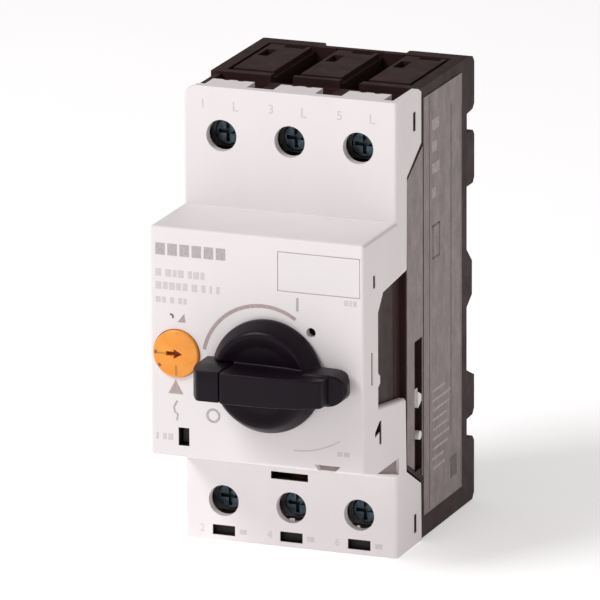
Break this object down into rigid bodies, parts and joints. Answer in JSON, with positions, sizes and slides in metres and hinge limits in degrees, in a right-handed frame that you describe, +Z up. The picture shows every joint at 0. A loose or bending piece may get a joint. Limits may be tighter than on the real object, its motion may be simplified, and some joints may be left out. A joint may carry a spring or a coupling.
{
  "type": "motor protection breaker",
  "caption": "Modular rotary-handle motor protection breaker for a DIN rail, with setting dial, screw terminals, trip mechanism and rail latch.",
  "frame": {"origin": "middle of the seat that rests on the face of a 35 mm rail, on the back of the base", "axes": "+X to the right seen from the front, +Y back towards the rail, +Z up"},
  "size_m": [0.045, 0.076, 0.093],
  "materials": {
    "cover_plastic": "fine matt moulded, light grey",
    "base_plastic": "fine matt moulded, brown black",
    "label_plastic": "smooth",
    "side_print": "printed grey field on moulded plastic",
    "handle_plastic": "satin moulded black",
    "steel": "turned",
    "mechanism_plastic": "moulded",
    "dial_plastic": "moulded orange yellow",
    "copper": "rolled copper",
    "contact_silver": "silver alloy",
    "spring_steel": "drawn wire",
    "zinc_plated_steel": "zinc plated sheet",
    "bobbin_plastic": "moulded",
    "bimetal": "rolled strip",
    "actuator_plastic": "moulded white",
    "screw_steel": "blued zinc plate",
    "latch_plastic": "moulded"
  },
  "bodies": {
    "breaker": {"front_cover": "cover_plastic", "base_housing": "base_plastic", "mechanism_case": "base_plastic", "marking_plate": "label_plastic", "side_plate_left": "side_print", "side_plate_right": "side_print", "handle_bushing": "mechanism_plastic", "line_conductors": "copper", "load_conductors": "copper", "fixed_tips": "contact_silver", "arc_plates_upper": "zinc_plated_steel", "arc_plates_lower": "zinc_plated_steel", "coil_bobbins": "bobbin_plastic", "magnet_coils": "copper", "magnet_yokes": "zinc_plated_steel", "bimetal_blocks": "zinc_plated_steel", "lever_pin": "steel"},
    "knob": {"rotary_handle": "handle_plastic", "handle_shaft": "steel", "drive_pinion": "mechanism_plastic"},
    "padlock_tongue": {"padlock_slide": "handle_plastic"},
    "dial": {"setting_dial": "dial_plastic", "dial_cam": "mechanism_plastic"},
    "rack": {"drive_rack": "mechanism_plastic"},
    "carrier": {"contact_carrier": "base_plastic", "moving_bridges": "copper", "moving_tips": "contact_silver", "contact_springs": "spring_steel"},
    "trip": {"trip_bar": "mechanism_plastic", "test_tab": "mechanism_plastic", "trip_spring": "spring_steel"},
    "latch_arm": {"latch_lever": "mechanism_plastic"},
    "aux_slider": {"aux_actuator": "actuator_plastic"},
    "trip_signal": {"trip_signal_pin": "actuator_plastic"},
    "rail_latch": {"din_latch": "latch_plastic", "latch_spring": "spring_steel"},
    "thermal_release_1": {"bimetal_strip_1": "bimetal", "heater_winding_1": "copper"},
    "magnetic_release_1": {"plunger_1": "steel"},
    "thermal_release_2": {"bimetal_strip_2": "bimetal", "heater_winding_2": "copper"},
    "magnetic_release_2": {"plunger_2": "steel"},
    "thermal_release_3": {"bimetal_strip_3": "bimetal", "heater_winding_3": "copper"},
    "magnetic_release_3": {"plunger_3": "steel"},
    "clamp_line_1": {"clamp_line_1": "zinc_plated_steel"},
    "screw_line_1": {"screw_line_1": "screw_steel"},
    "clamp_line_2": {"clamp_line_2": "zinc_plated_steel"},
    "screw_line_2": {"screw_line_2": "screw_steel"},
    "clamp_line_3": {"clamp_line_3": "zinc_plated_steel"},
    "screw_line_3": {"screw_line_3": "screw_steel"},
    "clamp_load_1": {"clamp_load_1": "zinc_plated_steel"},
    "screw_load_1": {"screw_load_1": "screw_steel"},
    "clamp_load_2": {"clamp_load_2": "zinc_plated_steel"},
    "screw_load_2": {"screw_load_2": "screw_steel"},
    "clamp_load_3": {"clamp_load_3": "zinc_plated_steel"},
    "screw_load_3": {"screw_load_3": "screw_steel"}
  },
  "joints": [
    {"name": "knob_turn", "type": "hinge", "parent": "breaker", "child": "knob", "pos_m": [0.0026, -0.059, -0.0057], "axis": [0, 1, 0], "range_deg": [0, 90]},
    {"name": "padlock_pull", "type": "slide", "parent": "knob", "child": "padlock_tongue", "axis": [-1, 0, 0], "range_m": [0, 0.008]},
    {"name": "dial_turn", "type": "hinge", "parent": "breaker", "child": "dial", "pos_m": [-0.01685, -0.058, -0.0032], "axis": [0, 1, 0], "range_deg": [-135, 135]},
    {"name": "rack_slide", "type": "slide", "parent": "breaker", "child": "rack", "axis": [0, 0, -1], "range_m": [0, 0.0067]},
    {"name": "carrier_slide", "type": "slide", "parent": "breaker", "child": "carrier", "axis": [0, 1, 0], "range_m": [0, 0.0024]},
    {"name": "trip_slide", "type": "slide", "parent": "breaker", "child": "trip", "axis": [1, 0, 0], "range_m": [0, 0.0016], "stiffness_N_per_m": 200, "springref_m": -0.0005, "deforming": ["trip_spring"]},
    {"name": "lever_turn", "type": "hinge", "parent": "breaker", "child": "latch_arm", "pos_m": [-0.0125, -0.044, 0.009], "axis": [0, 1, 0], "range_deg": [-6, 0]},
    {"name": "aux_slide", "type": "slide", "parent": "breaker", "child": "aux_slider", "axis": [0, 0, -1], "range_m": [0, 0.0026]},
    {"name": "trip_signal_slide", "type": "slide", "parent": "breaker", "child": "trip_signal", "axis": [0, 0, -1], "range_m": [0, 0.0026]},
    {"name": "rail_latch_slide", "type": "slide", "parent": "breaker", "child": "rail_latch", "axis": [0, 0, -1], "range_m": [0, 0.004], "stiffness_N_per_m": 1500, "springref_m": -0.002, "deforming": ["latch_spring"]},
    {"name": "thermal_bend_1", "type": "hinge", "parent": "breaker", "child": "thermal_release_1", "pos_m": [-0.0144, -0.033, -0.029], "axis": [0, 1, 0], "range_deg": [0, 4.8]},
    {"name": "plunger_slide_1", "type": "slide", "parent": "breaker", "child": "magnetic_release_1", "axis": [0, -1, 0], "range_m": [0, 0.0015], "stiffness_N_per_m": 150, "springref_m": -0.0005},
    {"name": "thermal_bend_2", "type": "hinge", "parent": "breaker", "child": "thermal_release_2", "pos_m": [0, -0.033, -0.029], "axis": [0, 1, 0], "range_deg": [0, 4.8]},
    {"name": "plunger_slide_2", "type": "slide", "parent": "breaker", "child": "magnetic_release_2", "axis": [0, -1, 0], "range_m": [0, 0.0015], "stiffness_N_per_m": 150, "springref_m": -0.0005},
    {"name": "thermal_bend_3", "type": "hinge", "parent": "breaker", "child": "thermal_release_3", "pos_m": [0.0144, -0.033, -0.029], "axis": [0, 1, 0], "range_deg": [0, 4.8]},
    {"name": "plunger_slide_3", "type": "slide", "parent": "breaker", "child": "magnetic_release_3", "axis": [0, -1, 0], "range_m": [0, 0.0015], "stiffness_N_per_m": 150, "springref_m": -0.0005},
    {"name": "clamp_slide_line_1", "type": "slide", "parent": "breaker", "child": "clamp_line_1", "axis": [0, 1, 0], "range_m": [0, 0.0035]},
    {"name": "screw_turn_line_1", "type": "hinge", "parent": "clamp_line_1", "child": "screw_line_1", "pos_m": [-0.0144, -0.036, 0.0367], "axis": [0, 1, 0], "range_deg": [0, 1800]},
    {"name": "clamp_slide_line_2", "type": "slide", "parent": "breaker", "child": "clamp_line_2", "axis": [0, 1, 0], "range_m": [0, 0.0035]},
    {"name": "screw_turn_line_2", "type": "hinge", "parent": "clamp_line_2", "child": "screw_line_2", "pos_m": [0, -0.036, 0.0367], "axis": [0, 1, 0], "range_deg": [0, 1800]},
    {"name": "clamp_slide_line_3", "type": "slide", "parent": "breaker", "child": "clamp_line_3", "axis": [0, 1, 0], "range_m": [0, 0.0035]},
    {"name": "screw_turn_line_3", "type": "hinge", "parent": "clamp_line_3", "child": "screw_line_3", "pos_m": [0.0144, -0.036, 0.0367], "axis": [0, 1, 0], "range_deg": [0, 1800]},
    {"name": "clamp_slide_load_1", "type": "slide", "parent": "breaker", "child": "clamp_load_1", "axis": [0, 1, 0], "range_m": [0, 0.0035]},
    {"name": "screw_turn_load_1", "type": "hinge", "parent": "clamp_load_1", "child": "screw_load_1", "pos_m": [-0.0144, -0.036, -0.0383], "axis": [0, 1, 0], "range_deg": [0, 1800]},
    {"name": "clamp_slide_load_2", "type": "slide", "parent": "breaker", "child": "clamp_load_2", "axis": [0, 1, 0], "range_m": [0, 0.0035]},
    {"name": "screw_turn_load_2", "type": "hinge", "parent": "clamp_load_2", "child": "screw_load_2", "pos_m": [0, -0.036, -0.0383], "axis": [0, 1, 0], "range_deg": [0, 1800]},
    {"name": "clamp_slide_load_3", "type": "slide", "parent": "breaker", "child": "clamp_load_3", "axis": [0, 1, 0], "range_m": [0, 0.0035]},
    {"name": "screw_turn_load_3", "type": "hinge", "parent": "clamp_load_3", "child": "screw_load_3", "pos_m": [0.0144, -0.036, -0.0383], "axis": [0, 1, 0], "range_deg": [0, 1800]}
  ],
  "couplings": [
    {"joint": "knob_turn", "follows": "carrier_slide", "rad_per_m": 654.5},
    {"joint": "rack_slide", "follows": "carrier_slide", "ratio": 2.7489},
    {"joint": "aux_slide", "follows": "carrier_slide", "ratio": 1.0417},
    {"joint": "trip_signal_slide", "follows": "trip_slide", "ratio": 1.5},
    {"joint": "lever_turn", "follows": "trip_slide", "rad_per_m": -50},
    {"joint": "thermal_bend_1", "follows": "trip_slide", "rad_per_m": 50},
    {"joint": "thermal_bend_2", "follows": "trip_slide", "rad_per_m": 50},
    {"joint": "thermal_bend_3", "follows": "trip_slide", "rad_per_m": 50},
    {"joint": "screw_turn_line_1", "follows": "clamp_slide_line_1", "rad_per_m": 8975.9},
    {"joint": "screw_turn_line_2", "follows": "clamp_slide_line_2", "rad_per_m": 8975.9},
    {"joint": "screw_turn_line_3", "follows": "clamp_slide_line_3", "rad_per_m": 8975.9},
    {"joint": "screw_turn_load_1", "follows": "clamp_slide_load_1", "rad_per_m": 8975.9},
    {"joint": "screw_turn_load_2", "follows": "clamp_slide_load_2", "rad_per_m": 8975.9},
    {"joint": "screw_turn_load_3", "follows": "clamp_slide_load_3", "rad_per_m": 8975.9}
  ]
}
